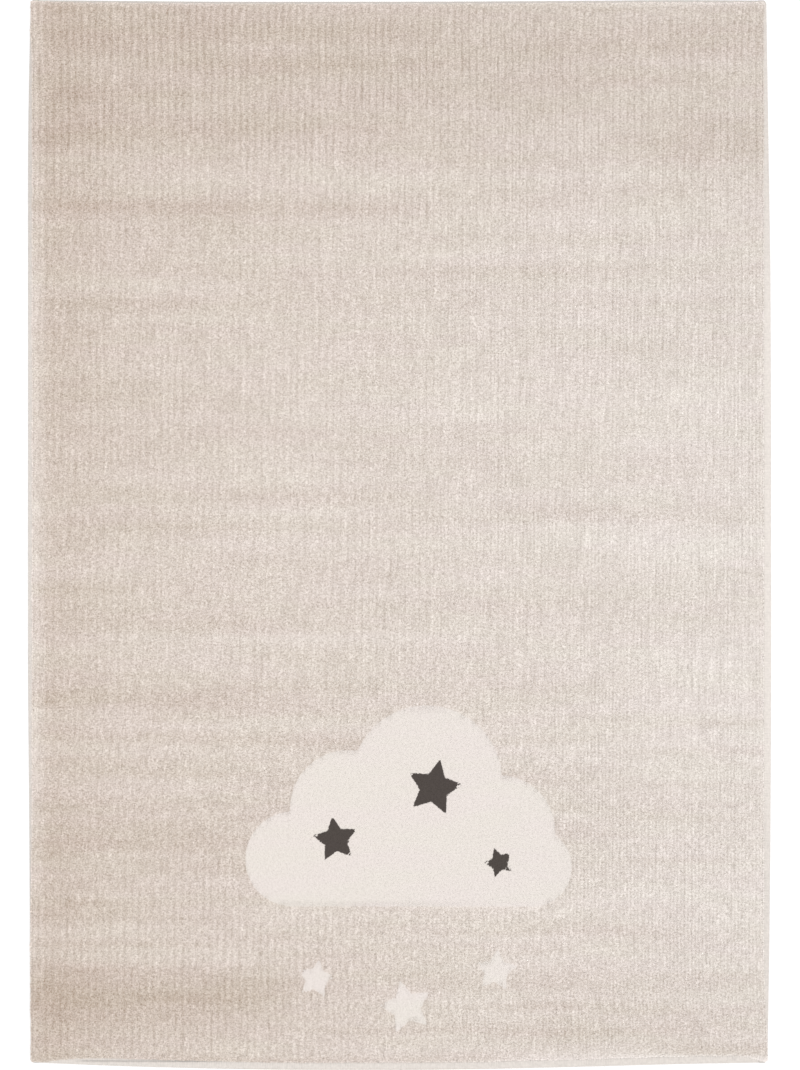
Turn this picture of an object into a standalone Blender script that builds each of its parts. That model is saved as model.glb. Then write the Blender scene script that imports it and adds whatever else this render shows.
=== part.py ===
"""A woven pile rug for a child's room, lying flat.

The ground is a sand pile in fine ribs that run the length of the rug.  Near one end the ribs
stop at a smooth cream cloud.  A yarn binding wraps a thin bare selvedge along each of the four
edges, and the crushed rim of the pile leans out over the bindings.

Metres, +Z up.  The back lies on z = 0 and the origin is under the middle of the rug.
+Y points to the plain end and the cloud lies toward -Y.
"""

import math

import bmesh
import bpy

RUG = "kids_rug"

# The outline: a nominal 1.33 by 1.90 m rectangle that has eased out of square.
WIDTH = 1.333  # where it is widest
LENGTH = 1.919  # where it is longest
# How far an edge falls short of the widest or longest place, at nine even stations along it.
# The two ends are read from the left, and the two sides from the cloud end.
FRONT_DRAWS = (0.0140, 0.0072, 0.0028, 0.0001, 0.0, 0.0023, 0.0062, 0.0108, 0.0138)
BACK_DRAWS = (0.0, 0.0015, 0.0028, 0.0029, 0.0028, 0.0023, 0.0012, 0.0001, 0.0010)
LEFT_DRAWS = (0.0053, 0.0035, 0.0021, 0.0, 0.0, 0.0001, 0.0001, 0.0005, 0.0048)
RIGHT_DRAWS = (0.0070, 0.0032, 0.0011, 0.0, 0.0002, 0.0004, 0.0016, 0.0052, 0.0088)

# Heights above the floor.
PILE_TOP = 0.0110  # crest of a rib, and the smooth cloud
RIB_DEPTH = 0.0014  # groove between two ribs
RIM_TOP = 0.0074  # the pile's outermost tufts, crushed down at the rim
LIP_FOOT = 0.0066  # underside of the rim, where it leans over a binding
BINDING_TOP = 0.0063
SELVEDGE_TOP = 0.0036
SELVEDGE_FOOT = 0.0016

# Distances in from the rug's outer edge.
BINDING_WIDTH = 0.0155
GAP = 0.0003  # between the yarn of a binding and the cloth that it wraps
PILE_INSET = BINDING_WIDTH + GAP
SELVEDGE_INSET = 0.0038
LEANS = (0.0070, 0.0010, 0.0010, 0.0098)  # of the rim over the left, right, front and back binding
RIM_INSETS = tuple(PILE_INSET - lean for lean in LEANS)

RIBS = 102
RIB_COLUMNS = (0.0, 0.28, 0.72)  # a groove and the two shoulders of a crest, in rib pitches
SHOULDER = 0.004  # rows in from the rim's two ends, where the pile's top rounds over
SHOULDER_DROP = 0.0011
CREST = 0.012
PLAIN_ROWS = (0.16, 0.37, 0.60, 0.79, 0.92)  # between the cloud and the far end, as shares
WALL_RIBS = 6  # ribs between two upright edges of an end wall, and between a binding's stations
NEAR = 0.01  # of a rib, well under the spacing of the columns

# The cloud: its base line, and the round lobes that stand on it (x, height above base, radius).
CLOUD_X = 0.0135
CLOUD_BASE = -0.665
CLOUD_LOBES = (
    (-0.205, 0.085, 0.085),
    (-0.105, 0.175, 0.105),
    (0.035, 0.225, 0.135),
    (0.165, 0.135, 0.100),
    (0.225, 0.070, 0.070),
)
CLOUD_EDGE = 0.006  # over which a groove fills up as it reaches the cloud

# A binding's section, as (distance in from the rug's edge, height): its outside, then its slot.
BINDING_OUTSIDE = (
    (BINDING_WIDTH, SELVEDGE_TOP + GAP),
    (0.0141, 0.0058),
    (0.0102, BINDING_TOP),
    (0.0044, 0.0061),
    (0.0012, 0.0049),
    (0.0000, 0.0030),
    (0.0007, 0.0013),
    (0.0026, 0.0000),
    (BINDING_WIDTH, 0.0000),
)
BINDING_SLOT = (
    (BINDING_WIDTH, SELVEDGE_FOOT - GAP),
    (SELVEDGE_INSET - GAP, SELVEDGE_FOOT - GAP),
    (SELVEDGE_INSET - GAP, SELVEDGE_TOP + GAP),
)
CORNER_ROUND = 0.006

# Linear colours with roughness.
SAND = (0.62, 0.53, 0.46)
CREAM = (0.84, 0.79, 0.73)
YARN = (0.78, 0.73, 0.67)
PILE_ROUGHNESS = 0.95
YARN_ROUGHNESS = 0.85


def clear_scene():
    for thing in list(bpy.data.objects):
        bpy.data.objects.remove(thing, do_unlink=True)


def fabric(name, colour, roughness):
    """A plain matt cloth of one colour."""
    material = bpy.data.materials.new(name)
    material.use_nodes = True
    shader = material.node_tree.nodes["Principled BSDF"]
    shader.inputs["Base Color"].default_value = (*colour, 1.0)
    shader.inputs["Roughness"].default_value = roughness
    shader.inputs["Metallic"].default_value = 0.0
    return material


def lerp(a, b, share):
    return a + (b - a) * share


def drawn(draws, share):
    """A smooth curve through evenly spaced values, read at a share of the way along them."""
    last = len(draws) - 1
    place = min(max(share, 0.0), 1.0) * last
    i = min(int(place), last - 1)
    t = place - i
    before, after = max(i - 1, 0), min(i + 2, last)
    slope_in = (draws[i + 1] - draws[before]) / (i + 1 - before)
    slope_out = (draws[after] - draws[i]) / (after - i)
    bend = t * (1 - t) * ((1 - t) * slope_in - t * slope_out)
    return max(lerp(draws[i], draws[i + 1], t * t * (3 - 2 * t)) + bend, 0.0)


def front_edge(x):
    """The cloud end, which swells in the middle."""
    return drawn(FRONT_DRAWS, 0.5 + x / WIDTH) - LENGTH / 2


def back_edge(x):
    """The plain end, which is nearly straight."""
    return LENGTH / 2 - drawn(BACK_DRAWS, 0.5 + x / WIDTH)


def left_edge(y):
    return drawn(LEFT_DRAWS, 0.5 + y / LENGTH) - WIDTH / 2


def right_edge(y):
    return WIDTH / 2 - drawn(RIGHT_DRAWS, 0.5 + y / LENGTH)


def place(across, along, insets, height):
    """A point of the rug: two shares of the outline drawn in by four insets, and a height."""
    left, right, front, back = insets
    x = lerp(left - WIDTH / 2, WIDTH / 2 - right, across)
    y = lerp(front_edge(x) + front, back_edge(x) - back, along)
    x = lerp(left_edge(y) + left, right_edge(y) - right, across)
    y = lerp(front_edge(x) + front, back_edge(x) - back, along)
    return (x, y, height)


def arc(x, lobe):
    """Half the height of a lobe's circle at x, or None beside it."""
    square = lobe[2] ** 2 - (x - lobe[0]) ** 2
    return math.sqrt(square) if square > 0 else None


def cloud_span(x):
    """The lowest and highest y of the cloud at x, or None beside it."""
    x -= CLOUD_X
    tops = [lobe[1] + arc(x, lobe) for lobe in CLOUD_LOBES if arc(x, lobe)]
    if not tops:
        return None
    first, last = CLOUD_LOBES[0], CLOUD_LOBES[-1]
    foot = 0.0
    for end, beyond in ((first, x < first[0]), (last, x > last[0])):
        if beyond:
            foot = end[1] - arc(x, end)
    return CLOUD_BASE + foot, CLOUD_BASE + max(tops)


def pile_rows(x):
    """The y of every row of the pile's top at x, and whether the cloud fills the grooves there.

    The rows are the near rim, its shoulder and crest, one row on the way to the cloud, the two
    sides of the cloud's lower and upper edges, the plain rows, and the far crest, shoulder and
    rim.
    """
    front, back = front_edge(x) + RIM_INSETS[2], back_edge(x) - RIM_INSETS[3]
    span = cloud_span(x)
    if span:
        low, high = span
    else:
        low = CLOUD_BASE + CLOUD_LOBES[0][1]
        high = low + CLOUD_EDGE
    first, last = low - CLOUD_EDGE, high + CLOUD_EDGE
    plain = [lerp(last, back - CREST, share) for share in PLAIN_ROWS]
    rows = [front, front + SHOULDER, front + CREST, lerp(front, first, 0.5), first, low, high, last]
    rows += [*plain, back - CREST, back - SHOULDER, back]
    smooth = [span is not None and y in (low, high) for y in rows]
    return rows, smooth


def row_shares(x):
    """Where the rows at x lie, as shares of the way from rim to rim."""
    rows, _ = pile_rows(x)
    return [(y - rows[0]) / (rows[-1] - rows[0]) for y in rows]


def pile_height(column, row, rows, smooth):
    """Rim, then crest or groove, rounded over near the two ends."""
    last = rows - 1
    if row in (0, last) or column in (0, RIBS * len(RIB_COLUMNS)):
        return RIM_TOP
    groove = RIB_DEPTH if column % len(RIB_COLUMNS) == 0 and not smooth else 0.0
    drop = SHOULDER_DROP if row in (1, last - 1) else 0.0
    return PILE_TOP - groove - drop


def new_ring(mesh, edges, insets, height, across, along):
    """Extrudes a closed ring of edges to other insets and height, and returns its edges."""
    made = bmesh.ops.extrude_edge_only(mesh, edges=edges)["geom"]
    for vertex in made:
        if isinstance(vertex, bmesh.types.BMVert):
            vertex.co = place(vertex[across], vertex[along], insets, height)
    fresh = {v for v in made if isinstance(v, bmesh.types.BMVert)}
    return [e for e in made if isinstance(e, bmesh.types.BMEdge) and set(e.verts) <= fresh]


def build_field(collection):
    """The one-piece pile cloth: ribbed top, crushed rim, bare selvedge and flat back."""
    columns = RIBS * len(RIB_COLUMNS)
    row_count = len(row_shares(0.0))
    mesh = bmesh.new()
    across = mesh.verts.layers.float.new("across")
    along = mesh.verts.layers.float.new("along")
    bmesh.ops.create_grid(mesh, x_segments=columns, y_segments=row_count - 1, size=0.5)
    in_cloud = set()
    for vertex in mesh.verts:
        column = round((vertex.co.x + 0.5) * columns)
        row = round((vertex.co.y + 0.5) * (row_count - 1))
        rib, part = divmod(column, len(RIB_COLUMNS))
        share = (rib + RIB_COLUMNS[part]) / RIBS
        x = lerp(RIM_INSETS[0] - WIDTH / 2, WIDTH / 2 - RIM_INSETS[1], share)
        _, smooth = pile_rows(x)
        vertex[across] = share
        vertex[along] = row_shares(x)[row]
        height = pile_height(column, row, row_count, smooth[row])
        vertex.co = place(share, vertex[along], RIM_INSETS, height)
        if smooth[row]:
            in_cloud.add(vertex)
    for face in mesh.faces:
        face.material_index = int(set(face.verts) <= in_cloud)

    rim = [edge for edge in mesh.edges if edge.is_boundary]
    lip = new_ring(mesh, rim, RIM_INSETS, LIP_FOOT, across, along)
    ring = new_ring(mesh, lip, (PILE_INSET,) * 4, LIP_FOOT, across, along)
    root = {vertex for edge in ring for vertex in edge.verts}
    spare = [v for v in root if abs(math.remainder(v[across] * RIBS, WALL_RIBS)) > NEAR]
    bmesh.ops.dissolve_verts(mesh, verts=spare)
    ring = [edge for edge in mesh.edges if edge.is_boundary]
    for inset, height in (
        (PILE_INSET, SELVEDGE_TOP),
        (SELVEDGE_INSET, SELVEDGE_TOP),
        (SELVEDGE_INSET, SELVEDGE_FOOT),
        (PILE_INSET, SELVEDGE_FOOT),
        (PILE_INSET, 0.0),
    ):
        ring = new_ring(mesh, ring, (inset,) * 4, height, across, along)
    bmesh.ops.contextual_create(mesh, geom=ring)
    bmesh.ops.recalc_face_normals(mesh, faces=mesh.faces)
    looks = [fabric("sand_pile", SAND, PILE_ROUGHNESS), fabric("cream_pile", CREAM, PILE_ROUGHNESS)]
    finish(mesh, "rug_field", looks, collection)


def side_point(edge, inset, along):
    """A point beside the left or right edge; its ends are rounded at the rug's corners."""
    corner = -WIDTH / 2 if edge == "left" else WIDTH / 2
    start, end = front_edge(corner), back_edge(corner)
    y = lerp(start, end, along)
    round_off = CORNER_ROUND * max(0.0, 1 - inset / CORNER_ROUND) ** 2
    y += round_off * (max(0.0, 1 - (y - start) / CORNER_ROUND) - max(0.0, 1 - (end - y) / CORNER_ROUND))
    return (left_edge(y) + inset if edge == "left" else right_edge(y) - inset, y)


def end_point(edge, inset, along):
    """A point beside the front or back edge, between the two side bindings."""
    x = lerp(-WIDTH / 2, WIDTH / 2, along)
    y = front_edge(x) if edge == "front" else back_edge(x)
    x = lerp(left_edge(y) + PILE_INSET, right_edge(y) - PILE_INSET, along)
    return (x, front_edge(x) + inset if edge == "front" else back_edge(x) - inset)


def build_binding(edge, point, stations, collection):
    """A yarn binding: one U-shaped section carried along an edge of the rug, through stations
    that are shares of its length."""
    section = BINDING_OUTSIDE + BINDING_SLOT
    mesh = bmesh.new()
    inset_of = mesh.verts.layers.float.new("inset")
    corners = [mesh.verts.new((*point(edge, inset, 0.0), z)) for inset, z in section]
    for vertex, (inset, _) in zip(corners, section):
        vertex[inset_of] = inset
    lids = [mesh.faces.new(corners)]
    for along in stations[1:]:
        made = bmesh.ops.extrude_face_region(mesh, geom=lids[-1:])["geom"]
        lids.append(next(g for g in made if isinstance(g, bmesh.types.BMFace)))
        for vertex in lids[-1].verts:
            vertex.co.xy = point(edge, vertex[inset_of], along)
    bmesh.ops.delete(mesh, geom=lids[1:-1], context="FACES_ONLY")
    bmesh.ops.recalc_face_normals(mesh, faces=mesh.faces)
    finish(mesh, f"binding_{edge}", [fabric(f"{edge}_yarn", YARN, YARN_ROUGHNESS)], collection)


def finish(mesh, name, looks, collection):
    """Turns the working mesh into a named object with its materials."""
    data = bpy.data.meshes.new(name)
    mesh.to_mesh(data)
    mesh.free()
    for material in looks:
        data.materials.append(material)
    collection.objects.link(bpy.data.objects.new(name, data))


def main():
    clear_scene()
    collection = bpy.data.collections.new(RUG)
    bpy.context.scene.collection.children.link(collection)
    build_field(collection)
    bend = CORNER_ROUND / LENGTH
    side_stations = [0.0, bend, *row_shares(WIDTH / 2)[2:-2], 1 - bend, 1.0]
    for edge in ("left", "right"):
        build_binding(edge, side_point, side_stations, collection)
    spans = RIBS // WALL_RIBS
    end_stations = [i / spans for i in range(spans + 1)]
    for edge in ("front", "back"):
        build_binding(edge, end_point, end_stations, collection)


main()
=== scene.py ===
import math

import bpy
import numpy as np
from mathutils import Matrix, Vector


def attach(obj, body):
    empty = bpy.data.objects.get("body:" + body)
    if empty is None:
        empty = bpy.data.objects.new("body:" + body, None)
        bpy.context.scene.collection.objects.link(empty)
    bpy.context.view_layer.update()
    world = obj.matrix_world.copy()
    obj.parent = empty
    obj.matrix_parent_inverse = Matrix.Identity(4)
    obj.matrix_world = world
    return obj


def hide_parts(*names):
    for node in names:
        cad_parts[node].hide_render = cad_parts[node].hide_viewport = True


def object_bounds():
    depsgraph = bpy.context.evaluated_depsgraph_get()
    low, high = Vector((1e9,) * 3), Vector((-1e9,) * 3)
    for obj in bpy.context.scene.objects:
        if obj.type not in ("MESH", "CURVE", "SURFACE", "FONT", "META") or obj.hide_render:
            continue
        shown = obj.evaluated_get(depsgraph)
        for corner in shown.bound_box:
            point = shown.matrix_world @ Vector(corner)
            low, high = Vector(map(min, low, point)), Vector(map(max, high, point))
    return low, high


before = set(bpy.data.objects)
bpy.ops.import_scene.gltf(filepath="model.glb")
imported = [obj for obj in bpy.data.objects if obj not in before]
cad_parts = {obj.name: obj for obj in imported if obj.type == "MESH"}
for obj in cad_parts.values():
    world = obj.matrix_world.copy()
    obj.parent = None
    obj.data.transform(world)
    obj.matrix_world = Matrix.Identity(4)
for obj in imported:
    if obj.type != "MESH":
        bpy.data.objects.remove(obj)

# Looks of a woven pile rug for a child's room.  Metres, +Z up.  The rug lies on z = 0 with its
# middle at the origin, +Y points to the plain end, and the cloud lies toward -Y.

CAD_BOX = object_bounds()
LEFT, FRONT = CAD_BOX[0].x, CAD_BOX[0].y
RIGHT, BACK = CAD_BOX[1].x, CAD_BOX[1].y
PILE_TOP = CAD_BOX[1].z
WIDTH = RIGHT - LEFT
OVERALL = BACK - FRONT

# How far each edge of the eased outline falls short of its widest or longest place, at nine even
# stations: the two ends from the left, and the two sides from the cloud end.
FRONT_DRAWS = (0.0140, 0.0072, 0.0028, 0.0001, 0.0, 0.0023, 0.0062, 0.0108, 0.0138)
BACK_DRAWS = (0.0, 0.0015, 0.0028, 0.0029, 0.0028, 0.0023, 0.0012, 0.0001, 0.0010)
LEFT_DRAWS = (0.0053, 0.0035, 0.0021, 0.0, 0.0, 0.0001, 0.0001, 0.0005, 0.0048)
RIGHT_DRAWS = (0.0070, 0.0032, 0.0011, 0.0, 0.0002, 0.0004, 0.0016, 0.0052, 0.0088)

# Heights, and distances in from the rug's edge.
RIM_TOP = 0.0072
RIM_EDGE = 0.0068  # the cloth's own edge, which the rim's tufts hide
LIP_FOOT = 0.0065
SELVEDGE_TOP = 0.0036
SELVEDGE_FOOT = 0.0016
PILE_INSET = 0.0158
SELVEDGE_INSET = 0.0038
RIM_ROUND = 0.010
# How far the rim leans out over the left, right, front and back binding: a base, then the height
# and depth of the bell curve at the edge's start and at its end, and a seed.
RIM_LEANS = (
    (0.0070, 0.007, 0.240, 0.007, 0.060, 51),
    (0.0006, 0.007, 0.100, 0.002, 0.020, 53),
    (0.0003, 0.012, 0.070, 0.012, 0.030, 55),
    (0.0100, 0.003, 0.040, 0.001, 0.040, 57),
)
LEAN_MOST = 0.0138
LEAN_WANDER = 0.0006

# The pile.
RIBS = 102
GROUND_DROP = 0.0012  # the cloth's own surface lies this far under the tips of its tufts
GROOVE_DEPTH = 0.0012
GROOVE_MOST = 0.8  # share of that depth to which a crest or a groove goes
SAND_SINK = 0.4  # share of it by which the sand's middle level lies under the cream motif's
# Painted shade: how much darker the grooves, and lighter the crests, are coloured.
GROOVE_PAINTED_SHADE = 0.75
PILE_SWELL = 0.00025
CARVED_DEPTH = 0.0006
# Painted shade in the channel round the motif.
CARVED_PAINTED_SHADE = 0.5
CARVED_OUT = 0.0015  # from the motif's edge to the middle of the channel around it
CARVED_WIDE = 0.0022
RIM_PAINTED_LIGHT = 0.7  # painted light at the very rim, for light that comes through its crushed yarn and to lift the shade where the pile drops
RIM_PAINTED_LIGHT_REACH = 0.0014
SIDE_PAINTED_LIGHT = (0.4, 0.1, 0.4, 0.9)  # painted light beside the left, right, front and back rim, to lift the shade there
SIDE_PAINTED_LIGHT_REACH = 0.0046
END_ROWS = (0.010, 5)  # the cloth's close rows at each end: their depth and number
MOTIF_ROWS = (0.022, 0.62, 50)  # its rows over the motif: from, to and number
GROUND_ROWS = (0.640, 0.022, 44)  # the others: from, how far short of the end, and number
CLOTH_SHADE_AND_SPREAD = (-0.3, 0.4)  # painted shade between tufts (the mean), and the spread of random tone there
TUFT_COLUMNS = (0.15, 0.38, 0.62, 0.85)  # across a rib
TUFT_ROWS = 410
TUFT_BANDS = 5
TUFT_EDGE = 0.0002  # share of the pile at each side that has no tuft's middle
ROW_SHIFT = 0.42  # most that a tuft is moved: along by this share of a row, across by that of a rib
RIB_SHIFT = 0.20
TUFT_SIDES = 3
TUFT_RADIUS = 0.0025
TUFT_HEIGHT = 0.0019  # from its roots, which lie under the cloth's surface, to its tip
TUFT_SOFT = 0.5  # how far outward its normals point at the root
TUFT_LEAN = 0.0004
TUFT_SWAY = 0.0006
TUFT_UNEVEN = 0.0003
TUFT_FLECK = 0.25
ROOT_PAINTED_SHADE = -0.1  # painted shade at a tuft's root
# Painted light at a tuft's tip.
TIP_PAINTED_LIGHT = 0.3
EVEN_HEIGHT = 0.45  # share of a tuft's height in the cream motif
EVEN_DROP = 0.68  # share of the ground's drop there
RIM_TUFT_SIDES = 5
RIM_TUFT_PITCH = 0.0020
RIM_TUFT_ROOT = 0.0066  # these lie on top of the binding
RIM_TUFT_RISE = 0.0008  # from root to tip in the outer row
RIM_TUFT_STEP_UP = 0.0009  # by which the inner row's tips stand higher
RIM_TUFT_UNEVEN = 0.0004
RIM_TUFT_INSET = -0.0008  # of the outer row from the rim
RIM_TUFT_STEP = 0.0014  # from the outer row to the inner one
RIM_TUFT_SPREAD = 0.0009  # of a row's places
RIM_TUFT_LEAN = (-0.0002, 0.0006)  # outward, least and most
RIM_TUFT_SWAY = 0.0003  # along the edge
RIM_TUFT_RADIUS = (0.0012, 0.0020)

# The cloud: its base line, and the round lobes that stand on it (x, height above base, radius).
CLOUD_X = 0.0135
CLOUD_BASE = -0.665
CLOUD_LOBES = (
    (-0.205, 0.085, 0.085),
    (-0.105, 0.175, 0.105),
    (0.035, 0.225, 0.135),
    (0.165, 0.135, 0.100),
    (0.225, 0.070, 0.070),
)
CLOUD_BODY = 0.12
# Stars (x, y, radius to a tip, turn in degrees), on the cloud and hanging under it.
DARK_STARS = (
    (-0.115, -0.545, 0.042, 8),
    (0.062, -0.452, 0.052, -12),
    (0.178, -0.586, 0.028, 20),
)
PALE_STARS = (
    (-0.150, -0.795, 0.036, -10),
    (0.012, -0.845, 0.050, 14),
    (0.172, -0.780, 0.040, -6),
)
STAR_WAIST = 0.50

# Bands that rolling has left in the pile (y, half depth, from x, to x, tone).
ROLL_MARKS = (
    (0.902, 0.050, -0.70, 0.30, -0.35),
    (0.890, 0.060, 0.28, 0.80, -0.40),
    (0.815, 0.030, -0.80, 0.80, -0.50),
    (0.755, 0.045, 0.45, 0.80, -0.80),
    (0.715, 0.032, -0.80, -0.22, -0.85),
    (0.700, 0.022, 0.42, 0.80, -0.60),
    (0.690, 0.040, -0.20, 0.42, -0.35),
    (0.640, 0.050, 0.45, 0.80, -0.45),
    (0.628, 0.016, -0.50, 0.05, 0.30),
    (0.585, 0.010, -0.66, 0.02, -0.60),
    (0.400, 0.012, -0.66, -0.40, -0.45),
    (0.440, 0.030, 0.10, 0.50, 0.25),
    (0.250, 0.090, -0.80, -0.50, -0.20),
    (0.200, 0.035, 0.52, 0.80, -0.40),
    (0.215, 0.022, -0.45, -0.20, -0.35),
    (0.150, 0.008, -0.60, -0.30, -0.30),
    (0.070, 0.018, 0.12, 0.50, 0.35),
    (0.056, 0.010, -0.30, 0.05, -0.40),
    (0.036, 0.010, 0.00, 0.66, -0.70),
    (-0.015, 0.028, 0.33, 0.66, 0.40),
    (-0.030, 0.020, -0.50, 0.00, 0.30),
    (-0.080, 0.022, -0.20, 0.25, 0.35),
    (-0.105, 0.020, -0.66, -0.38, -0.30),
    (-0.160, 0.032, -0.70, -0.25, -0.45),
    (-0.120, 0.012, 0.15, 0.66, -0.35),
    (-0.215, 0.030, 0.40, 0.66, 0.30),
    (-0.285, 0.036, -0.80, -0.29, -0.50),
    (-0.345, 0.016, 0.30, 0.42, -0.35),
    (-0.390, 0.014, 0.45, 0.66, -0.30),
    (-0.530, 0.020, 0.28, 0.45, -0.30),
    (-0.560, 0.034, -0.80, -0.27, -0.55),
    (-0.640, 0.022, -0.66, -0.27, -0.15),
    (-0.710, 0.018, 0.28, 0.50, -0.35),
    (-0.750, 0.026, -0.80, -0.24, 0.35),
    (-0.828, 0.044, -0.80, -0.22, -0.95),
    (-0.850, 0.070, 0.22, 0.80, -0.75),
    (-0.914, 0.012, 0.45, 0.80, -1.00),
    (-0.932, 0.008, 0.20, 0.72, 1.00),
)
MARK_TONE = 0.27  # for a strength of one
MARK_FADE = 0.09  # over which a band begins and ends

# Long streaks across the rug: cell length, cell depth, strength, seed.
STREAKS = (
    (0.60, 0.019, 0.07, 6),
    (0.34, 0.011, 0.09, 8),
    (0.16, 0.007, 0.07, 9),
    (0.07, 0.005, 0.04, 10),
)

# Linear colours.
SAND_DEEP = (0.460, 0.377, 0.314)
SAND_PALE = (0.692, 0.636, 0.592)
CREAM = (0.701, 0.648, 0.607)
CHARCOAL = (0.062, 0.050, 0.044)
ROSY = (1.006, 0.993, 1.002)
STRAW = (0.998, 1.003, 0.988)
GOLDEN = (1.003, 0.996, 0.991)
COOL = (0.992, 1.000, 1.008)
DEEP_GRAIN = (0.84, 1.00, 1.18)  # how much of the mottle and painted shade each colour channel takes: darker is warm
PALE_GRAIN = (0.95, 1.00, 1.05)
YARN = (0.760, 0.703, 0.655)
YARN_SHADE = 0.50  # share of its colour where it is darkest
BACKING = (0.560, 0.480, 0.380)
BACKING_SHADE = 0.82
FLOOR = (0.95, 0.95, 0.95)

LATTICE = 400  # cells of the noise each way before it repeats
LATTICE_START = (150.3, 150.7)  # where the origin lies in it


def lerp(a, b, share):
    """From a at share 0 to b at share 1, in a straight line."""
    return a + (b - a) * share


def smooth(low, high, value):
    """0 below low, 1 above high, and a smooth ramp between."""
    t = np.clip((value - low) / (high - low), 0, 1)
    return t * t * (3 - 2 * t)


def cloudy(x, y, cell_x, cell_y, seed):
    """Smooth noise from -1 to 1: random values on a lattice of cells, blended between them."""
    rng = np.random.default_rng(seed)
    lattice = rng.uniform(-1, 1, (LATTICE, LATTICE))
    u, v = x / cell_x + LATTICE_START[0], y / cell_y + LATTICE_START[1]
    i, j = np.floor(u).astype(int), np.floor(v).astype(int)
    s, t = smooth(0, 1, u - i), smooth(0, 1, v - j)
    i, j = i % LATTICE, j % LATTICE
    k, m = (i + 1) % LATTICE, (j + 1) % LATTICE
    return lerp(lerp(lattice[i, j], lattice[k, j], s), lerp(lattice[i, m], lattice[k, m], s), t)


def drawn(draws, share):
    """A smooth curve through evenly spaced values, read at a share of the way along them: a cubic
    between each two, whose slopes are those between their neighbours."""
    last = len(draws) - 1
    value, slope = np.array(draws), np.gradient(draws)
    spot = np.clip(share, 0, 1) * last
    i = np.minimum(spot.astype(int), last - 1)
    t = spot - i
    bend = t * (1 - t) * ((1 - t) * slope[i] - t * slope[i + 1])
    return np.maximum(lerp(value[i], value[i + 1], smooth(0, 1, t)) + bend, 0)


def front_edge(x):
    """The cloud end, which swells in the middle."""
    return FRONT + drawn(FRONT_DRAWS, (x - LEFT) / WIDTH)


def back_edge(x):
    """The plain end, which is nearly straight."""
    return BACK - drawn(BACK_DRAWS, (x - LEFT) / WIDTH)


def left_edge(y):
    """The left side, which draws in toward both corners."""
    return LEFT + drawn(LEFT_DRAWS, (y - FRONT) / OVERALL)


def right_edge(y):
    """The right side, which draws in toward both corners."""
    return RIGHT - drawn(RIGHT_DRAWS, (y - FRONT) / OVERALL)


def place(across, along, left, right, front, back):
    """Two shares of the outline drawn in by four distances, as x and y."""
    x = lerp(LEFT + left, RIGHT - right, across)
    y = lerp(front_edge(x) + front, back_edge(x) - back, along)
    x = lerp(left_edge(y) + left, right_edge(y) - right, across)
    y = lerp(front_edge(x) + front, back_edge(x) - back, along)
    return x, y


def reach(share, length, draws, base, near, near_depth, far, far_depth, seed):
    """How far the pile leans out over a binding: a base, more where the edge draws in, a bell
    curve near each end, and an uneven wander."""
    start, end = share * length, (1 - share) * length
    wander = cloudy(start, start * 0, 0.019, 1, seed)
    wander = wander + 0.7 * cloudy(start, start * 0, 0.006, 1, seed + 1)
    corners = near * np.exp(-((start / near_depth) ** 2)) + far * np.exp(-((end / far_depth) ** 2))
    return np.minimum(base + drawn(draws, share) + corners, LEAN_MOST) + LEAN_WANDER * wander


def rim_insets(across, along):
    """The four distances in from the rug's edge at which the pile's rim stands: it hides the
    bindings at the corners and most of the plain end's."""
    level = (0.0, 0.0)
    edges = (
        (along, OVERALL, LEFT_DRAWS),
        (along, OVERALL, RIGHT_DRAWS),
        (across, WIDTH, level),
        (across, WIDTH, level),
    )
    return tuple(PILE_INSET - reach(*edge, *lean) for edge, lean in zip(edges, RIM_LEANS))


def cloud_depth(x, y):
    """How far inside the cloud a point is: the largest of its lobes' and its body's depths."""
    u, v = x - CLOUD_X, y - CLOUD_BASE
    depth = np.full(np.shape(u), -1.0)
    for lobe_x, lobe_y, radius in CLOUD_LOBES:
        depth = np.maximum(depth, radius - np.hypot(u - lobe_x, v - lobe_y))
    sides = np.minimum(u - CLOUD_LOBES[0][0], CLOUD_LOBES[-1][0] - u)
    return np.maximum(depth, np.minimum(sides, np.minimum(v, CLOUD_BODY - v)))


def star_depth(x, y, star):
    """How far inside a five-point star a point is: the straight side's radius less its own."""
    u, v = x - star[0], y - star[1]
    tip, waist = star[2], star[2] * STAR_WAIST
    fifth = 2 * math.pi / 5
    angle = np.arctan2(u, v) + math.radians(star[3])
    angle = np.abs(angle - fifth * np.round(angle / fifth))
    half = fifth / 2
    side = tip * waist * math.sin(half)
    across = waist * math.sin(half) * np.cos(angle)
    away = (tip - waist * math.cos(half)) * np.sin(angle)
    return side / (across + away) - np.hypot(u, v)


def motif(x, y):
    """How far a point is inside the cream cloud and stars, and inside the dark stars."""
    cream = np.max([cloud_depth(x, y), *(star_depth(x, y, star) for star in PALE_STARS)], axis=0)
    dark = np.max([star_depth(x, y, star) for star in DARK_STARS], axis=0)
    return cream, dark


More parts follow.
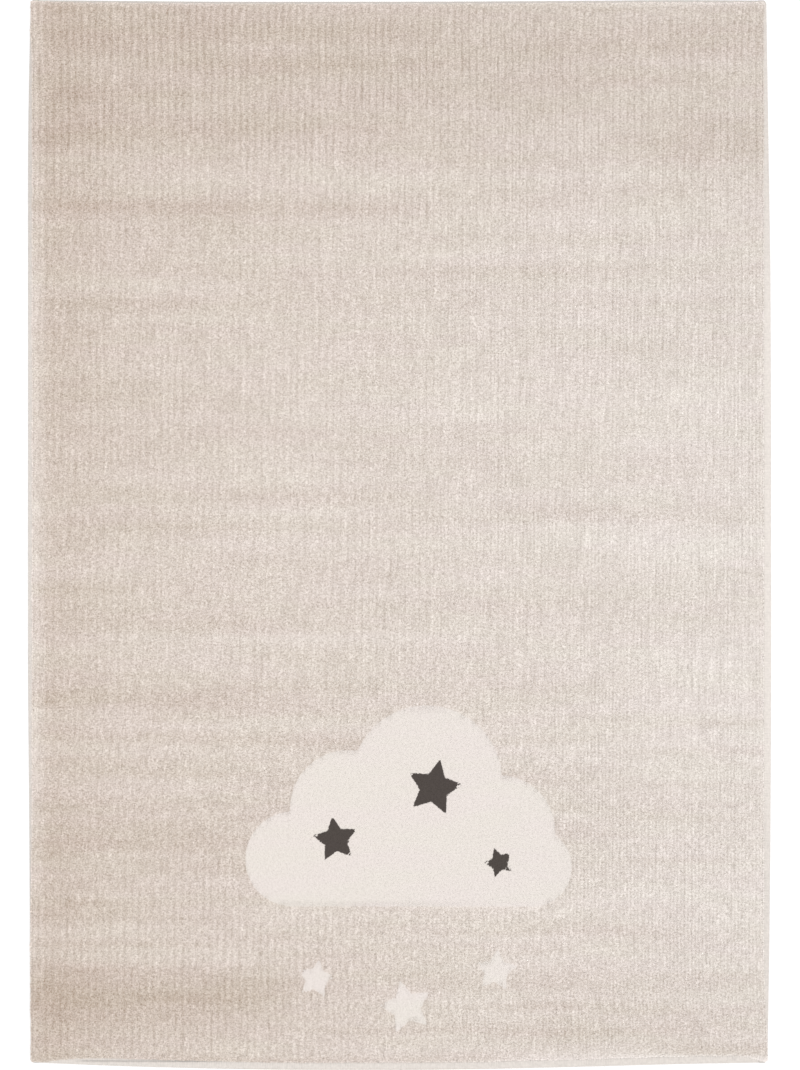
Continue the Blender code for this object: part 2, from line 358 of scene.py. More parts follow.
def lay_tone(x, y):
    """0 where the pile looks deep and warm, 1 where it looks pale: a slow change over the whole
    rug, paler strips beside the left and back rim, the bands that rolling left, and long noise of
    four sizes."""
    u, v = 2 * x / WIDTH, 2 * y / OVERALL
    tone = 0.68 + 0.21 * u - (0.32 + 0.10 * u) * np.maximum(v, 0) ** 2
    tone -= 0.10 * np.maximum(-v, 0) ** 2 * (1 - u) + 0.10 * smooth(-0.72, -0.93, u)
    paler = 0.12 + 0.22 * smooth(0.75, 0.40, v) * smooth(-0.75, -0.45, v)
    paler = paler + 0.12 * smooth(0.5, 0.8, v)
    tone += paler * smooth(-0.935, -0.985, u) + 0.20 * smooth(0.985, 0.998, v)
    bent = y - 0.010 * cloudy(x, y * 0, 0.22, 1, 7)
    for mark_y, depth, start, end, strength in ROLL_MARKS:
        band = np.exp(-(((bent - mark_y) / depth) ** 2))
        width = smooth(start - MARK_FADE, start + MARK_FADE, x)
        width = width * smooth(end + MARK_FADE, end - MARK_FADE, x)
        tone += MARK_TONE * strength * band * width
    for streak_x, streak_y, strength, seed in STREAKS:
        tone += strength * cloudy(x, y, streak_x, streak_y, seed)
    return np.clip(tone, 0, 1)


def groove(across, x, y):
    """How deep a place lies between ribs, from -0.8 on a crest to 0.8 in a groove, as two cosine
    waves: one to a rib, which fades to the right and toward the middle of the rug, and two to a
    rib, which shows on the right."""
    phase = 2 * math.pi * RIBS * across
    wide = 0.45 + 0.28 * cloudy(x, y, 0.17, 0.13, 11) + 0.95 * smooth(0.40, 0.90, y)
    wide += 0.52 * smooth(-0.45, -0.75, y) * smooth(0.3, -0.3, x)
    wide *= 1 - 0.52 * smooth(-0.35, 0.35, x)
    fine = 0.12 + (0.62 + 0.30 * cloudy(x, y, 0.13, 0.16, 13)) * smooth(-0.35, 0.25, x)
    ribs = 0.5 * wide * np.cos(phase) + 0.5 * fine * np.cos(2 * phase)
    return np.clip(ribs, -GROOVE_MOST, GROOVE_MOST) * smooth(0.002, -0.002, motif(x, y)[0])


def carved(x, y):
    """1 in the narrow channel cut around the cream motif, and 0 elsewhere."""
    return np.exp(-(((motif(x, y)[0] + CARVED_OUT) / CARVED_WIDE) ** 2))


def calm_share(x, y, least=0.1):
    """1 on the sand ground, and the least share in the cream motif, whose pile is even."""
    return lerp(1, least, smooth(-0.001, 0.001, motif(x, y)[0]))


def pile_surface(across, x, y, rim_distance):
    """Height of the tips: the top, less the grooves, the channel around the motif and the
    rounding of the rim, with a slow swell."""
    top = PILE_TOP - GROOVE_DEPTH * (SAND_SINK + groove(across, x, y))
    top -= CARVED_DEPTH * carved(x, y)
    top += SAND_SINK * GROOVE_DEPTH * smooth(-0.002, 0.004, motif(x, y)[0])
    top += PILE_SWELL * cloudy(x, y, 0.30, 0.05, 12)
    fall = np.clip(1 - rim_distance / RIM_ROUND, 0, 1) ** 2
    return top - (PILE_TOP - RIM_TOP) * fall


def from_rim(across, along):
    """Distance to the nearest edge of the pile."""
    sides = np.minimum(across, 1 - across) * (WIDTH - 2 * PILE_INSET)
    ends = np.minimum(along, 1 - along) * (OVERALL - 2 * PILE_INSET)
    return np.minimum(sides, ends)


def rim_painted_light(across, along):
    """Painted light added along the rim, for light that comes through the crushed rim and to lift
    the shade where the pile drops to the bindings: two bell curves of the distance from the rim, a
    narrow one that is the same all round and a wide one with its own height for each edge."""
    wide, long = WIDTH - 2 * PILE_INSET, OVERALL - 2 * PILE_INSET
    pale = RIM_PAINTED_LIGHT * np.exp(-((from_rim(across, along) / RIM_PAINTED_LIGHT_REACH) ** 2))
    distances = (across * wide, (1 - across) * wide, along * long, (1 - along) * long)
    for height, distance in zip(SIDE_PAINTED_LIGHT, distances):
        pale = pale + height * np.exp(-((distance / SIDE_PAINTED_LIGHT_REACH) ** 2))
    return pale


def mesh_piece(name, points, faces, looks):
    """A smooth-shaded mesh object of numpy points and faces."""
    data = bpy.data.meshes.new(name)
    data.from_pydata(points, [], faces)
    data.shade_smooth()
    for look in looks:
        data.materials.append(look)
    piece = bpy.data.objects.new(name, data)
    bpy.context.scene.collection.objects.link(piece)
    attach(piece, "root")
    return piece


def paint(piece, **fields):
    """Stores one number for each point under each name."""
    for name, values in fields.items():
        layer = piece.data.attributes.new(name, "FLOAT", "POINT")
        layer.data.foreach_set("value", np.asarray(values, np.float32).ravel())


def paint_pile(piece, points, fleck):
    """Stores the pile's tone, with painted shade added in the channel round the motif, and its
    depths in the motif, in millimetres, at each point.
    """
    x, y = points[:, 0], points[:, 1]
    cream, dark = motif(x, y)
    # Painted shade in the channel round the motif.
    fleck = fleck - CARVED_PAINTED_SHADE * carved(x, y)
    paint(piece, lay=lay_tone(x, y), cream_mm=cream * 1000, dark_mm=dark * 1000, fleck=fleck)


def bake_map(piece, u, v):
    """A flat map of the piece, from one pair of numbers for each point."""
    corners = np.empty(len(piece.data.loops), np.int32)
    piece.data.loops.foreach_get("vertex_index", corners)
    layer = piece.data.uv_layers.new(name="OFBake")
    flat = np.stack([u, v], axis=1).astype(np.float32)[corners]
    layer.data.foreach_set("uv", flat.ravel())


# ---------------------------------------------------------------- materials


class Look:
    """A node material, with short calls for the nodes that it is made of."""

    def __init__(self, name):
        self.material = bpy.data.materials.new(name)
        self.material.use_nodes = True
        self.tree = self.material.node_tree
        self.shader = self.tree.nodes["Principled BSDF"]
        self.shader.inputs["Metallic"].default_value = 0.0

    def node(self, kind, *links, **settings):
        """A new node, whose inputs are linked to sockets or set to values."""
        node = self.tree.nodes.new(kind)
        for key, value in settings.items():
            setattr(node, key, value)
        for socket, value in links:
            if isinstance(value, bpy.types.NodeSocket):
                self.tree.links.new(value, node.inputs[socket])
            else:
                node.inputs[socket].default_value = value
        return node

    def attribute(self, name):
        """The number that is stored under a name at each point."""
        return self.node("ShaderNodeAttribute", attribute_name=name).outputs["Fac"]

    def maths(self, operation, a, b):
        return self.node("ShaderNodeMath", (0, a), (1, b), operation=operation).outputs[0]

    def mix(self, share, a, b):
        """Colour a at share 0, colour b at share 1, and a blend between."""
        links = ((0, share), (6, (*a, 1) if isinstance(a, tuple) else a),
                 (7, (*b, 1) if isinstance(b, tuple) else b))
        return self.node("ShaderNodeMix", *links, data_type="RGBA").outputs[2]

    def spot(self, stretch=(1, 1, 1)):
        """The object's own coordinates, stretched."""
        own = self.node("ShaderNodeTexCoord").outputs["Object"]
        return self.node("ShaderNodeMapping", (0, own), ("Scale", stretch)).outputs[0]

    def noise(self, scale, detail, stretch=(1, 1, 1)):
        """Noise in features to the metre."""
        links = (("Vector", self.spot(stretch)), ("Scale", scale), ("Detail", detail))
        return self.node("ShaderNodeTexNoise", *links).outputs["Fac"]

    def cells(self, scale, uneven):
        """Distance from the middle of the nearest cell, 0 to about 0.9, seen from above."""
        links = (("Vector", self.spot()), ("Scale", scale), ("Randomness", uneven))
        cells = self.node("ShaderNodeTexVoronoi", *links, voronoi_dimensions="2D")
        return cells.outputs["Distance"]

    def times(self, a, b):
        """Two colours, or a colour and a number, multiplied."""
        return self.node("ShaderNodeVectorMath", (0, a), (1, b), operation="MULTIPLY").outputs[0]

    def plus(self, a, b):
        """Two colours added."""
        return self.node("ShaderNodeVectorMath", (0, a), (1, b), operation="ADD").outputs[0]

    def ramp(self, value, low, high, out_low, out_high):
        """A value carried from one range to another, and held at its two ends."""
        links = (("Value", value), ("From Min", low), ("From Max", high),
                 ("To Min", out_low), ("To Max", out_high))
        return self.node("ShaderNodeMapRange", *links).outputs[0]

    def bump(self, height, strength, distance, under=None):
        """A normal tilted by a height, on top of another bump or the bare surface."""
        links = [("Height", height), ("Strength", strength), ("Distance", distance)]
        if under is not None:
            links.append(("Normal", under))
        return self.node("ShaderNodeBump", *links).outputs["Normal"]

    def finish(self, colour, roughness, normal, sheen, sheen_roughness, specular):
        """Links or sets the shader's own inputs, and returns the material."""
        shader, links = self.shader, self.tree.links
        links.new(colour, shader.inputs["Base Color"])
        links.new(roughness, shader.inputs["Roughness"])
        links.new(normal, shader.inputs["Normal"])
        shader.inputs["Sheen Weight"].default_value = sheen
        shader.inputs["Sheen Roughness"].default_value = sheen_roughness
        shader.inputs["Specular IOR Level"].default_value = specular
        return self.material


def pile_look():
    """Cut pile: sand by its lay, cream and charcoal by the woven motif, each tuft a little its
    own tone, and fine fibres that break up the light.  The stored tone adds painted shade and
    painted light, and each yarn end is coloured lighter in its middle and darker at its edge as
    painted shade."""
    look = Look("pile_yarn")
    fuzz = look.ramp(look.noise(450, 2), 0.2, 0.8, -1.3, 1.3)
    masks = []
    for name in ("cream_mm", "dark_mm"):
        depth = look.maths("ADD", look.attribute(name), fuzz)
        masks.append(look.ramp(depth, -0.9, 0.9, 0, 1))
    sand = look.mix(look.attribute("lay"), SAND_DEEP, SAND_PALE)
    colour = look.mix(masks[0], sand, CREAM)
    colour = look.mix(masks[1], colour, CHARCOAL)
    tint = look.ramp(look.noise(5, 2, (1, 5, 1)), 0.38, 0.62, 0, 1)
    colour = look.times(colour, look.mix(tint, ROSY, STRAW))
    side = look.node("ShaderNodeSeparateXYZ", (0, look.spot())).outputs["X"]
    colour = look.times(colour, look.mix(look.ramp(side, LEFT, RIGHT, 0, 1), GOLDEN, COOL))
    # The stored tone: random tone with painted shade and painted light.
    fleck = look.ramp(look.attribute("fleck"), -3, 3, 0.60, 1.40)
    ends = look.cells(560, 0.9)
    # Painted shade: each yarn end's middle is coloured lighter and its edge darker.
    loops = look.ramp(ends, 0, 0.9, 0.24, -0.14)
    mottle = look.ramp(look.noise(380, 1, (0.8, 1, 1)), 0.2, 0.8, -0.28, 0.28)
    rough = look.ramp(look.attribute("lay"), 0.2, 1.0, 1.35, 0.75)
    calm = look.mix(masks[0], rough, (0.18, 0.18, 0.18))
    grain_and_painted_shade = look.maths("MULTIPLY", look.maths("ADD", loops, mottle), calm)
    grain_and_painted_shade = look.maths("MULTIPLY", look.maths("ADD", grain_and_painted_shade, 1.0), fleck)
    warm = look.mix(look.attribute("lay"), DEEP_GRAIN, PALE_GRAIN)
    shade = look.times(warm, look.maths("SUBTRACT", grain_and_painted_shade, 1.0))
    colour = look.times(colour, look.plus(shade, (1, 1, 1)))
    roughness = look.ramp(look.noise(300, 2), 0, 1, 0.82, 0.98)
    normal = look.bump(look.ramp(ends, 0, 0.9, 1, 0), 0.6, 0.0007)
    normal = look.bump(look.noise(2600, 3), 0.5, 0.0003, normal)
    return look.finish(colour, roughness, normal, sheen=0.18, sheen_roughness=0.5, specular=0.25)


def backing_look():
    """The plain woven back: crossing yarns about 3 mm apart."""
    look = Look("woven_back")
    waves = []
    for turn in ("X", "Y"):
        links = (("Vector", look.spot()), ("Scale", 100))
        waves.append(look.node("ShaderNodeTexWave", *links, bands_direction=turn).outputs["Fac"])
    weave = look.maths("MAXIMUM", *waves)
    tone = look.ramp(look.noise(60, 3), 0.2, 0.8, 0, 1)
    colour = look.mix(tone, BACKING, tuple(c * BACKING_SHADE for c in BACKING))
    roughness = look.ramp(weave, 0, 1, 0.95, 0.85)
    normal = look.bump(weave, 0.6, 0.0006)
    return look.finish(colour, roughness, normal, sheen=0.1, sheen_roughness=0.5, specular=0.2)


def yarn_look():
    """Overcast yarn: soft threads side by side, painted darker between them as shade, with a slow
    change of tone, the stored painted shade and a darkening given for each binding."""
    look = Look("binding_yarn")
    angle = look.maths("MULTIPLY", look.attribute("turn"), 2 * math.pi)
    thread = look.maths("ADD", look.node("ShaderNodeMath", (0, angle), operation="SINE").outputs[0],
                        look.ramp(look.noise(900, 2), 0.2, 0.8, -0.5, 0.5))
    tone = look.ramp(look.noise(190, 3), 0.30, 0.70, -0.06, 0.18)
    tone = look.maths("ADD", tone, look.attribute("soil"))
    # Painted shade between the threads, and a little painted light on them.
    tone = look.maths("ADD", tone, look.ramp(thread, -1, 1, 0.12, -0.04))
    colour = look.mix(tone, YARN, tuple(c * YARN_SHADE for c in YARN))
    roughness = look.ramp(look.noise(400, 2), 0, 1, 0.78, 0.95)
    normal = look.bump(thread, 0.6, 0.0003)
    normal = look.bump(look.noise(3000, 2), 0.4, 0.0002, normal)
    return look.finish(colour, roughness, normal, sheen=0.2, sheen_roughness=0.4, specular=0.3)


# ---------------------------------------------------------------- pieces


def grid_faces(rows, columns):
    """Four-sided faces of a grid of points, row by row."""
    first = (np.arange(rows - 1)[:, None] * columns + np.arange(columns - 1)).ravel()
    return np.stack([first, first + 1, first + columns + 1, first + columns], axis=1)


def cloth_shares():
    """Where the cloth's columns and rows lie: four columns to a rib, and rows closer together
    at the two ends and over the motif."""
    length = OVERALL - 2 * PILE_INSET
    start, short, count = GROUND_ROWS
    end = np.linspace(0, *END_ROWS)
    ground = np.linspace(start, length - short, count)
    y = np.concatenate([end, np.linspace(*MOTIF_ROWS), ground, length - end[::-1]])
    return np.linspace(0, 1, RIBS * len(TUFT_COLUMNS) + 1), y / length


def build_cloth(pile, back):
    """The one-piece cloth.  Its top is a height over a grid of shares across and along.  Rings of
    points run from the pile's rim in under its lip, down its wall, round the bare selvedge and
    onto the flat back, which closes it."""
    across, along = cloth_shares()
    columns, rows = len(across), len(along)
    u, v = np.meshgrid(across, along)
    x, y = place(u, v, *rim_insets(u, v))
    z = pile_surface(u, x, y, from_rim(u, v)) - GROUND_DROP * calm_share(x, y, EVEN_DROP)
    z = np.maximum(z, RIM_EDGE)
    z[from_rim(u, v) <= 0] = RIM_EDGE
    points = [np.stack([x, y, z], axis=-1).reshape(-1, 3)]
    index = np.arange(rows * columns).reshape(rows, columns)
    loop = np.concatenate([index[0, :-1], index[:-1, -1], index[-1, :0:-1], index[:0:-1, 0]])
    loop_u, loop_v = u.ravel()[loop], v.ravel()[loop]
    faces = [grid_faces(rows, columns)]
    before = loop
    for inset, height in (
        (PILE_INSET, LIP_FOOT),
        (PILE_INSET, SELVEDGE_TOP),
        (SELVEDGE_INSET, SELVEDGE_TOP),
        (SELVEDGE_INSET, SELVEDGE_FOOT),
        (PILE_INSET, SELVEDGE_FOOT),
        (PILE_INSET, 0.0),
    ):
        ring_x, ring_y = place(loop_u, loop_v, inset, inset, inset, inset)
        ring = np.stack([ring_x, ring_y, np.full(len(loop), height)], axis=1)
        after = np.arange(len(loop)) + sum(len(p) for p in points)
        points.append(ring)
        faces.append(np.stack([before, after, np.roll(after, -1), np.roll(before, -1)], axis=1))
        before = after
    points = np.concatenate(points)
    quads = np.concatenate(faces)
    piece = mesh_piece("rug_cloth", points, [*quads.tolist(), before[::-1].tolist()], [pile, back])
    # The top, the lip and the wall are pile, and the selvedge and the back are woven.
    under = np.zeros(len(quads) + 1, np.int32)
    under[(rows - 1) * (columns - 1) + 2 * len(loop):] = 1
    piece.data.polygons.foreach_set("material_index", under)
    # Random tone, with painted shade between the tufts and in the grooves, painted light on the
    # crests and along the rim, and more painted light on the lip and wall.
    fleck = np.random.default_rng(22).normal(*CLOTH_SHADE_AND_SPREAD, len(points))
    fleck[:rows * columns] *= calm_share(x, y).ravel()
    fleck[:rows * columns] += (rim_painted_light(u, v) - GROOVE_PAINTED_SHADE * groove(u, x, y)).ravel()
    fleck[rows * columns:] += RIM_PAINTED_LIGHT
    paint_pile(piece, points, fleck)
    # On the flat map the top lies at the left, and what is under it at the right.
    share_x, share_y = (points[:, 0] - LEFT) / WIDTH, (points[:, 1] - FRONT) / OVERALL
    below = points[:, 2] < SELVEDGE_TOP + 0.0001
    map_x = np.where(below, 0.67 + 0.32 * share_x, 0.01 + 0.64 * share_x)
    bake_map(piece, map_x, 0.01 + 0.98 * share_y)
    return piece


def tuft_mesh(name, sides, x, y, root, top, lean_x, lean_y, radius, turn, fleck, depth, pile):
    """Yarn ends as one joined mesh.  Each is a closed cone of a few sides: its root's points lie
    on a circle, and its tip leans.  It is shaded as a soft dome: its normals point up at the tip
    and part of the way outward at the root.  Its root is coloured darker and its tip lighter, as
    painted shade and painted light."""
    count = len(x)
    angle = turn[:, None] + np.arange(sides) * (2 * math.pi / sides)
    points = np.empty((count, sides + 1, 3))
    points[:, :sides, 0] = x[:, None] + radius[:, None] * np.cos(angle)
    points[:, :sides, 1] = y[:, None] + radius[:, None] * np.sin(angle)
    points[:, :sides, 2] = root[:, None]
    points[:, sides] = np.stack([x + lean_x, y + lean_y, top], axis=1)
    corner = np.arange(sides)
    walls = np.stack([corner, (corner + 1) % sides, np.full(sides, sides)], axis=1)
    floor = np.stack([corner[2:], corner[1:-1], corner[2:] * 0], axis=1)
    corners = np.concatenate([walls, floor])
    faces = (np.arange(count)[:, None, None] * (sides + 1) + corners).reshape(-1, 3)
    points = points.reshape(-1, 3)
    piece = mesh_piece(name, points, faces.tolist(), [pile])
    normals = np.zeros((count, sides + 1, 3))
    soft = TUFT_SOFT * depth[:, None]
    normals[:, :sides, 0], normals[:, :sides, 1] = soft * np.cos(angle), soft * np.sin(angle)
    normals[..., 2] = 1
    normals /= np.linalg.norm(normals, axis=2)[..., None]
    down = np.broadcast_to((0.0, 0.0, -1.0), (count, len(floor), 3, 3))
    normals = np.concatenate([normals[:, walls], down], axis=1)
    piece.data.normals_split_custom_set(normals.reshape(-1, 3).tolist())
    # Painted shade at the roots and painted light at the tip.
    shade = np.append(np.full(sides, ROOT_PAINTED_SHADE), TIP_PAINTED_LIGHT)
    paint_pile(piece, points, (fleck[:, None] + depth[:, None] * shade).ravel())
    low, size = points.min(0), np.ptp(points, axis=0)
    bake_map(piece, (points[:, 0] - low[0]) / size[0], (points[:, 1] - low[1]) / size[1])
    return piece


def build_tufts(pile):
    """Yarn ends all over the pile in bands along the rug: staggered rows of four to a rib, each
    moved a little, with their tips on the pile's surface."""
    rng = np.random.default_rng(31)
    rib, part = np.divmod(np.arange(RIBS * len(TUFT_COLUMNS)), len(TUFT_COLUMNS))
    across = (rib + np.array(TUFT_COLUMNS)[part]) / RIBS
    along = (np.arange(TUFT_ROWS) + 0.25) / TUFT_ROWS
    u, v = np.meshgrid(across, along)
    v = v + (np.arange(len(across)) % 2) * 0.5 / TUFT_ROWS
    v = v + rng.uniform(-ROW_SHIFT, ROW_SHIFT, v.shape) / TUFT_ROWS
    u = u + rng.uniform(-RIB_SHIFT, RIB_SHIFT, u.shape) / RIBS
    u, v = (np.clip(share, TUFT_EDGE, 1 - TUFT_EDGE) for share in (u, v))
    x, y = place(u, v, *rim_insets(u, v))
    calm = calm_share(x, y)
    uneven = calm * TUFT_UNEVEN * np.clip(rng.normal(0, 1, u.shape), -2, 2)
    top = pile_surface(u, x, y, from_rim(u, v)) + uneven
    root = top - TUFT_HEIGHT * calm_share(x, y, EVEN_HEIGHT)
    lean_x = rng.normal(0, TUFT_SWAY, u.shape) * calm
    lean_y = TUFT_LEAN + rng.normal(0, TUFT_SWAY, u.shape) * calm
    radius = TUFT_RADIUS * rng.uniform(0.85, 1.15, u.shape)
    turn = rng.uniform(0, 2 * math.pi, u.shape)
    fleck = rng.normal(0, TUFT_FLECK, u.shape) * calm
    # Painted shade in the grooves, painted light on the crests and along the rim.
    fleck = fleck - GROOVE_PAINTED_SHADE * groove(u, x, y) + rim_painted_light(u, v)
    fields = (x, y, root, top, lean_x, lean_y, radius, turn, fleck, calm)
    pieces = []
    for band, rows in enumerate(np.array_split(np.arange(TUFT_ROWS), TUFT_BANDS)):
        take = [field[rows].ravel() for field in fields]
        pieces.append(tuft_mesh(f"pile_tufts_{band + 1}", TUFT_SIDES, *take, pile))
    return pieces


def build_rim_tufts(pile):
    """Crushed yarn ends that lie out over the bindings, in two overlapping rows along each edge:
    even steps, each moved a little, with the inner row higher."""
    rng = np.random.default_rng(61)
    parts = []
    for edge, length in (("left", OVERALL), ("right", OVERALL), ("front", WIDTH), ("back", WIDTH)):
        share = np.linspace(0, 1, round(length / RIM_TUFT_PITCH))
        share = np.tile(share, 2) + rng.uniform(-0.5, 0.5, 2 * len(share)) * RIM_TUFT_PITCH / length
        share = np.clip(share, 0.001, 0.999)
        row = np.repeat(np.arange(2), len(share) // 2)
        inward = RIM_TUFT_INSET + RIM_TUFT_STEP * row + rng.uniform(0, RIM_TUFT_SPREAD, len(share))
        lean = rng.uniform(*RIM_TUFT_LEAN, len(share))
        if edge in ("left", "right"):
            across = inward / WIDTH
            u, v = (across if edge == "left" else 1 - across), share
        else:
            along = inward / OVERALL
            u, v = share, (along if edge == "front" else 1 - along)
        x, y = place(u, v, *rim_insets(u, v))
        out_x = {"left": -1, "right": 1}.get(edge, 0)
        out_y = {"front": -1, "back": 1}.get(edge, 0)
        root = np.full(len(x), RIM_TUFT_ROOT)
        top = root + RIM_TUFT_RISE + RIM_TUFT_STEP_UP * row
        top += rng.uniform(0, RIM_TUFT_UNEVEN, len(x))
        along_edge = rng.normal(0, RIM_TUFT_SWAY, len(x))
        lean_x = out_x * lean + (out_x == 0) * along_edge
        lean_y = out_y * lean + (out_y == 0) * along_edge
        # Painted light along the rim, with random tone.
        fleck = rim_painted_light(u, v) + rng.normal(0, TUFT_FLECK, len(x))
        radius = rng.uniform(*RIM_TUFT_RADIUS, len(x))
        turn = rng.uniform(0, 2 * math.pi, len(x))
        depth = np.ones(len(x))
        parts.append((x, y, root, top, lean_x, lean_y, radius, turn, fleck, depth))
    fields = (np.concatenate(field) for field in zip(*parts))
    return tuft_mesh("rim_tufts", RIM_TUFT_SIDES, *fields, pile)


# Points of the binding's section (inset, height, share of the stitches' depth).
BINDING_SECTION = (
    (0.0155, 0.0039, 0.3),
    (0.0152, 0.0050, 0.7),
    (0.0141, 0.0058, 1.0),
    (0.0126, 0.0062, 1.0),
    (0.0111, 0.0063, 1.0),
    (0.0097, 0.0063, 1.0),
    (0.0083, 0.0063, 1.0),
    (0.0065, 0.0063, 1.0),
    (0.0046, 0.0061, 1.0),
    (0.0026, 0.0057, 1.0),
    (0.0012, 0.0049, 1.0),
    (0.0004, 0.0037, 1.0),
    (0.0002, 0.0024, 1.0),
    (0.0006, 0.0012, 0.8),
    (0.0018, 0.0003, 0.3),
    (0.0035, 0.0000, 0.0),
    (0.0155, 0.0000, 0.0),
    (0.0155, 0.0013, 0.0),
    (0.0035, 0.0013, 0.0),
    (0.0035, 0.0039, 0.0),
)
BINDING_MIDDLE = (0.009, 0.003)  # of the section, from which its ridges stand out
# How much darker each binding's yarn is made, edge by edge.
BINDING_DARKENING = {"left": 0.20, "right": 0.0, "front": 0.12, "back": 0.42}
SUNK_PAINTED_SHADE = 0.16  # painted shade: how much darker the yarn is coloured at the bottom of a valley
# Painted shade in the crease.
CREASE_PAINTED_SHADE = 0.60
CORNER_DARKENING = 0.15  # darkening added toward the ends of the side bindings
CORNER_DARKENING_SPAN = (0.35, 0.65)
THREADS = 2  # to a ridge
SLOT_FLOOR = 0.0035  # insets of the slot that holds the selvedge
SLOT_MOUTH = PILE_INSET - 0.0006
SLOT_START = 0.0034  # from each end of a binding, which is closed that far
CREASE = (-0.9424, 0.0016)  # y and half width of the crease in the cloud end's binding
CREASE_SPAN = (-0.59, -0.30)  # x at its start and end, and over how much of it each fades
CREASE_FADE = (0.03, 0.08)
CREASE_DEPTH = 0.0012
STITCH_PITCH = 0.0045
STITCH_STEPS = 3
STITCH_DEPTH = 0.0007
STITCH_PROUD = 0.45  # share of that depth by which a ridge stands out of the section
STITCH_SWELL = 0.25  # share of it by which ridges differ
STITCH_SLANT = 0.35  # of a pitch, round the section
STITCH_WANDER = 0.15  # of a pitch
RIDGE_POWER = 0.7  # of the sine wave: the lower, the broader a ridge and the narrower a valley
CORNER_ROUND = 0.006
LAP = 0.0005  # by which the end bindings run into the side bindings


def side_path(edge, along, inset):
    """Points beside a long edge, whose two ends are rounded at the rug's corners."""
    corner = LEFT if edge == "left" else RIGHT
    start, end = front_edge(corner), back_edge(corner)
    y = lerp(start, end, along)
    round_off = CORNER_ROUND * np.clip(1 - inset / CORNER_ROUND, 0, 1) ** 2
    near = np.clip(1 - (y - start) / CORNER_ROUND, 0, 1)
    far = np.clip(1 - (end - y) / CORNER_ROUND, 0, 1)
    y = y + round_off * (near - far)
    return (left_edge(y) + inset if edge == "left" else right_edge(y) - inset), y


def end_path(edge, along, inset):
    """Points beside the front or back edge, between the two side bindings."""
    x = lerp(LEFT, RIGHT, along)
    y = front_edge(x) if edge == "front" else back_edge(x)
    x = lerp(left_edge(y) + PILE_INSET - LAP, right_edge(y) - PILE_INSET + LAP, along)
    return x, (front_edge(x) + inset if edge == "front" else back_edge(x) - inset)


def build_binding(edge, path, length, seed, yarn):
    """One overcast binding: a U-shaped section carried along an edge, with a ridge for each turn
    of yarn that crosses its top and outer side on a slant."""
    turns = round(length / STITCH_PITCH)
    along = np.linspace(0, 1, turns * STITCH_STEPS + 1)
    inset, height, ridged = (np.array(c) for c in zip(*BINDING_SECTION))
    s, inset_grid = np.meshgrid(along, inset, indexing="ij")
    floor = (inset == SLOT_FLOOR) & (height > 0) & (np.minimum(s, 1 - s) * length < SLOT_START)
    inset_grid = np.where(floor, SLOT_MOUTH, inset_grid)
    swell = 1 + STITCH_SWELL * cloudy(along * length, along * 0, 0.009, 1, seed)[:, None]
    phase = s * turns + STITCH_SLANT * np.linspace(0, 1, len(inset))
    phase += STITCH_WANDER * cloudy(s * length, s, 0.012, 1, seed + 1)
    valley = 1 - np.abs(np.sin(math.pi * phase)) ** RIDGE_POWER
    x, y = path(edge, s, inset_grid)
    crease = np.exp(-(((y - CREASE[0]) / CREASE[1]) ** 2))
    crease = crease * (height > SELVEDGE_TOP) * (edge == "front")
    crease *= (smooth(CREASE_SPAN[0], CREASE_SPAN[0] + CREASE_FADE[0], x)
               * smooth(CREASE_SPAN[1], CREASE_SPAN[1] - CREASE_FADE[1], x))
    sink = STITCH_DEPTH * (valley - STITCH_PROUD) * swell * ridged + CREASE_DEPTH * crease
    away = np.stack([inset - BINDING_MIDDLE[0], height - BINDING_MIDDLE[1]], axis=1)
    away /= np.linalg.norm(away, axis=1)[:, None]
    inset_grid = inset_grid - sink * away[:, 0]
    z = height - sink * away[:, 1]
    x, y = path(edge, s, inset_grid)
    points = np.stack([x, y, z], axis=-1).reshape(-1, 3)
    count = len(inset)
    ring = np.arange(count)
    starts = np.arange(len(along) - 1)[:, None] * count
    first, second = (starts + ring).ravel(), (starts + np.roll(ring, -1)).ravel()
    quads = np.stack([first, second, second + count, first + count], axis=1)
    caps = [ring[::-1].tolist(), (ring + (len(along) - 1) * count).tolist()]
    piece = mesh_piece(f"overcast_{edge}", points, [*quads.tolist(), *caps], [yarn])
    for cap in piece.data.polygons[-2:]:
        cap.use_smooth = False
    # Painted shade in the valleys between ridges and in the crease, with a darkening for each edge
    # and toward the side bindings' ends.
    soil = BINDING_DARKENING[edge] + SUNK_PAINTED_SHADE * valley * ridged + CREASE_PAINTED_SHADE * crease
    soil += CORNER_DARKENING * smooth(*CORNER_DARKENING_SPAN, np.abs(y)) * (edge in ("left", "right"))
    turn = THREADS * phase
    turn[[0, -1]] = THREADS * inset / STITCH_PITCH  # upright threads on the end faces
    paint(piece, soil=soil, turn=turn)
    face_outwards(piece)
    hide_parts(f"binding_{edge}")
    return piece


def face_outwards(piece):
    """Turns a closed mesh right side out if its volume comes out negative."""
    data = piece.data
    data.calc_loop_triangles()
    corners = np.empty(len(data.loop_triangles) * 3, np.int32)
    data.loop_triangles.foreach_get("vertices", corners)
    co = np.empty(len(data.vertices) * 3, np.float32)
    data.vertices.foreach_get("co", co)
    a, b, c = co.reshape(-1, 3)[corners.reshape(-1, 3)].transpose(1, 0, 2).astype(float)
    if (a * np.cross(b, c)).sum() < 0:
        data.flip_normals()


# ---------------------------------------------------------------- stage, light and camera

PHOTO_WIDE, PHOTO_HIGH = 800, 1070
RUG_MIDDLE_PX = (399.65, 535.1)
METRES_PER_PX = WIDTH / 743.6
LENS = 85
SENSOR = 36
FLOOR_SIDE = 12
FLOOR_DROP = 0.0004  # under the rug's back
SKY_STRENGTH = 0.97
FAR_LIGHTS = (  # name, from where, strength, and spread in degrees
    ("key", (1.8, -0.6, 6.0), 0.73, 40),
    ("fill", (-3.0, 2.0, 6.0), 0.30, 60),
)


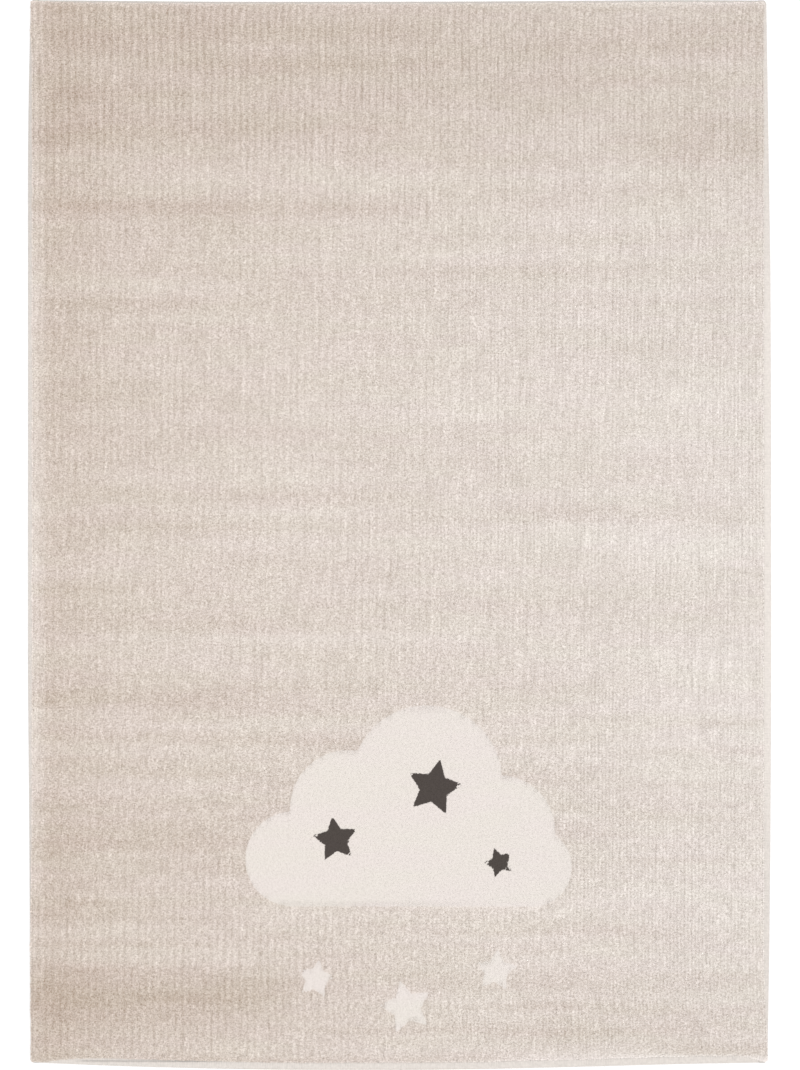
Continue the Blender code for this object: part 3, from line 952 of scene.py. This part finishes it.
def build_stage():
    """A pale floor just under the rug."""
    bpy.ops.mesh.primitive_plane_add(size=FLOOR_SIDE, location=(0, 0, -FLOOR_DROP))
    floor = bpy.context.object
    floor.name = "floor"
    material = bpy.data.materials.new("pale_floor")
    material.use_nodes = True
    shader = material.node_tree.nodes["Principled BSDF"]
    shader.inputs["Base Color"].default_value = (*FLOOR, 1)
    shader.inputs["Roughness"].default_value = 0.9
    floor.data.materials.append(material)


def far_light(name, spot, strength, spread):
    """A broad light so far off that it reaches both sides of the rug alike."""
    lamp = bpy.data.lights.new(name, "SUN")
    lamp.energy = strength
    lamp.angle = math.radians(spread)
    thing = bpy.data.objects.new(name, lamp)
    thing.location = spot
    flat = math.hypot(spot[0], spot[1])
    thing.rotation_euler = (math.atan2(flat, spot[2]), 0, math.atan2(spot[0], -spot[1]))
    bpy.context.scene.collection.objects.link(thing)


def build_light():
    """An even white sky, and the two far lights."""
    world = bpy.data.worlds.new("studio")
    bpy.context.scene.world = world
    world.use_nodes = True
    sky = world.node_tree.nodes["Background"]
    sky.inputs["Color"].default_value = (1, 1, 1, 1)
    sky.inputs["Strength"].default_value = SKY_STRENGTH
    for light in FAR_LIGHTS:
        far_light(*light)


def build_camera():
    """Straight above the rug, at the photo's scale."""
    camera = bpy.data.cameras.new("camera")
    camera.lens = LENS
    camera.sensor_width = SENSOR
    high = PHOTO_HIGH * METRES_PER_PX
    thing = bpy.data.objects.new("camera", camera)
    x = (PHOTO_WIDE / 2 - RUG_MIDDLE_PX[0]) * METRES_PER_PX
    y = (RUG_MIDDLE_PX[1] - PHOTO_HIGH / 2) * METRES_PER_PX
    thing.location = (x, y, high * LENS / SENSOR + PILE_TOP / 2)
    bpy.context.scene.collection.objects.link(thing)
    bpy.context.scene.camera = thing


def main():
    """The rug's pieces, then the floor, the light and the camera."""
    pile, back, yarn = pile_look(), backing_look(), yarn_look()
    cloth = build_cloth(pile, back)
    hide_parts("rug_field")
    tufts = [*build_tufts(pile), build_rim_tufts(pile)]
    bindings = [
        build_binding("left", side_path, OVERALL, 41, yarn),
        build_binding("right", side_path, OVERALL, 43, yarn),
        build_binding("front", end_path, WIDTH, 45, yarn),
        build_binding("back", end_path, WIDTH, 47, yarn),
    ]
    build_stage()
    build_light()
    build_camera()
    bpy.context.scene.view_settings.view_transform = "Standard"


main()
